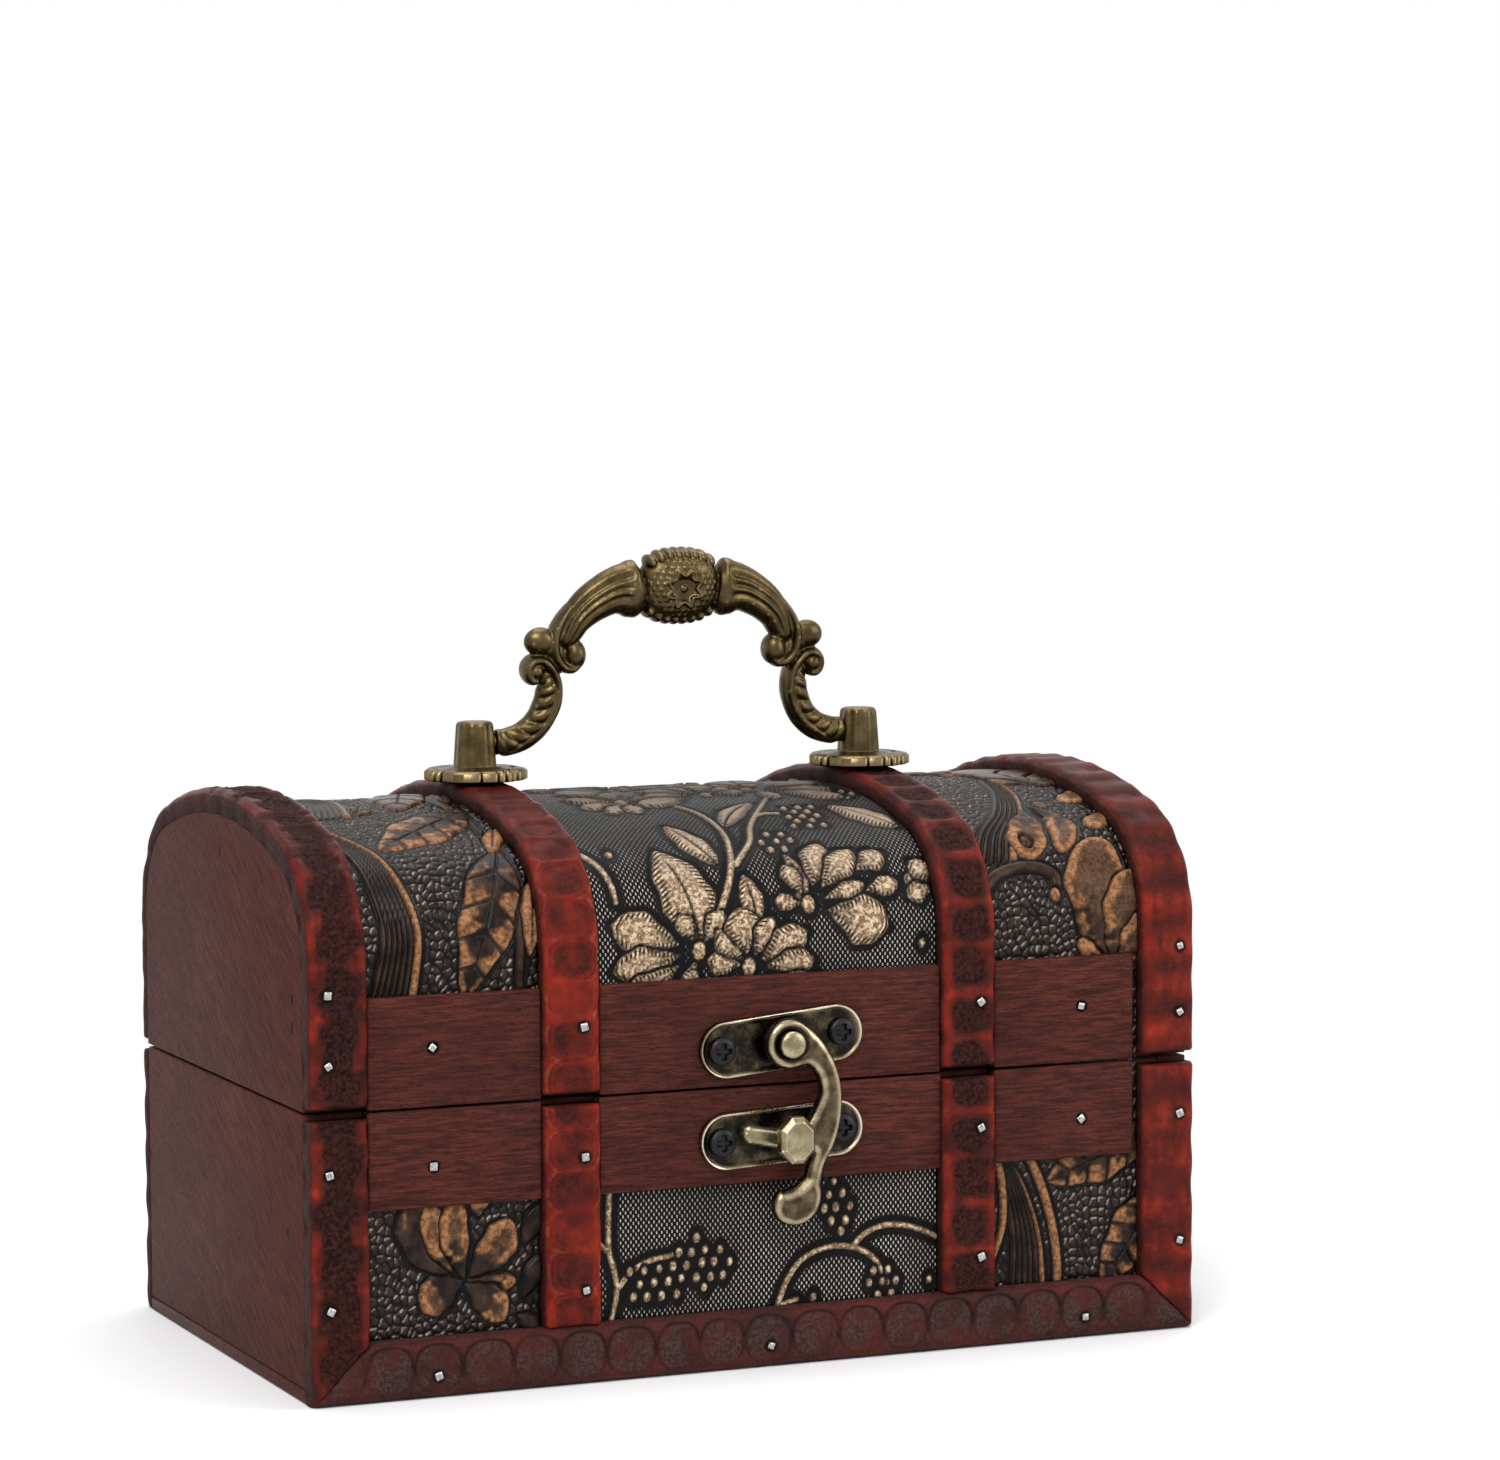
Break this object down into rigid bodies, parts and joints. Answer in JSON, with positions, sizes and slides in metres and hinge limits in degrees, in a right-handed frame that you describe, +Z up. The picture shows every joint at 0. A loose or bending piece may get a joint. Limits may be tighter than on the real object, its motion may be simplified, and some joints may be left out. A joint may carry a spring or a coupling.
{
  "type": "treasure chest box",
  "caption": "Small wooden treasure chest with a domed hinged lid, carved wooden straps, embossed leather panels, a swing hook clasp at the front and a cast bail handle on top.",
  "frame": {"origin": "the middle of the chest's underside, on the plane it stands on", "axes": "+X along the chest to its right-hand end, -Y out of the front with the clasp, +Z up"},
  "size_m": [0.15, 0.097, 0.1268],
  "materials": {
    "board_wood": "satin",
    "strap_wood": "satin",
    "rail_wood": "satin",
    "black_leather": "satin",
    "brown_leather": "satin",
    "antique_brass": "satin",
    "bright_steel": "satin",
    "black_steel": "satin"
  },
  "bodies": {
    "base": {"base_bottom_panel": "board_wood", "base_left_end": "board_wood", "base_right_end": "board_wood", "base_front_panel": "board_wood", "base_back_panel": "board_wood", "base_front_strip_left": "strap_wood", "base_front_strip_right": "strap_wood", "base_bottom_strip": "strap_wood", "base_strap_mid_left": "strap_wood", "base_strap_mid_right": "strap_wood", "base_back_strip_left": "strap_wood", "base_back_strip_right": "strap_wood", "base_leather_left": "brown_leather", "base_leather_center": "black_leather", "base_leather_right": "brown_leather", "base_front_rail_left": "rail_wood", "base_front_rail_center": "rail_wood", "base_front_rail_right": "rail_wood", "base_back_rail": "rail_wood", "base_brads": "bright_steel", "catch_plate": "antique_brass", "catch_post": "antique_brass", "catch_screws": "black_steel", "hinge_base_leaf_left": "antique_brass", "hinge_base_leaf_right": "antique_brass", "hinge_base_screws": "antique_brass", "hinge_pins": "antique_brass"},
    "lid": {"lid_left_end": "board_wood", "lid_right_end": "board_wood", "lid_front_board": "board_wood", "lid_back_board": "board_wood", "lid_top_panel": "board_wood", "lid_leather_left": "brown_leather", "lid_leather_center": "black_leather", "lid_leather_right": "brown_leather", "lid_strap_left_end": "strap_wood", "lid_strap_mid_left": "strap_wood", "lid_strap_mid_right": "strap_wood", "lid_strap_right_end": "strap_wood", "lid_front_rail_left": "rail_wood", "lid_front_rail_center": "rail_wood", "lid_front_rail_right": "rail_wood", "lid_back_rail_left": "rail_wood", "lid_back_rail_center": "rail_wood", "lid_back_rail_right": "rail_wood", "lid_brads": "bright_steel", "clasp_plate": "antique_brass", "clasp_rivet": "antique_brass", "clasp_screws": "black_steel", "hinge_lid_leaf_left": "antique_brass", "hinge_lid_leaf_right": "antique_brass", "hinge_lid_screws": "antique_brass", "handle_post_left": "antique_brass", "handle_post_right": "antique_brass", "handle_rosette_left": "antique_brass", "handle_rosette_right": "antique_brass", "handle_screws": "black_steel"},
    "hook": {"clasp_hook": "antique_brass"},
    "bail": {"handle_bail": "antique_brass"}
  },
  "joints": [
    {"name": "lid_hinge", "type": "hinge", "parent": "base", "child": "lid", "pos_m": [0, 0.0444, 0.0442], "axis": [-1, 0, 0], "range_deg": [0, 105]},
    {"name": "hook_pivot", "type": "hinge", "parent": "lid", "child": "hook", "pos_m": [0.0023, -0.04725, 0.051], "axis": [0, -1, 0], "range_deg": [0, 150]},
    {"name": "bail_pivot", "type": "hinge", "parent": "lid", "child": "bail", "pos_m": [0.001, -0.0022, 0.0958], "axis": [1, 0, 0], "range_deg": [-108, 92]}
  ]
}
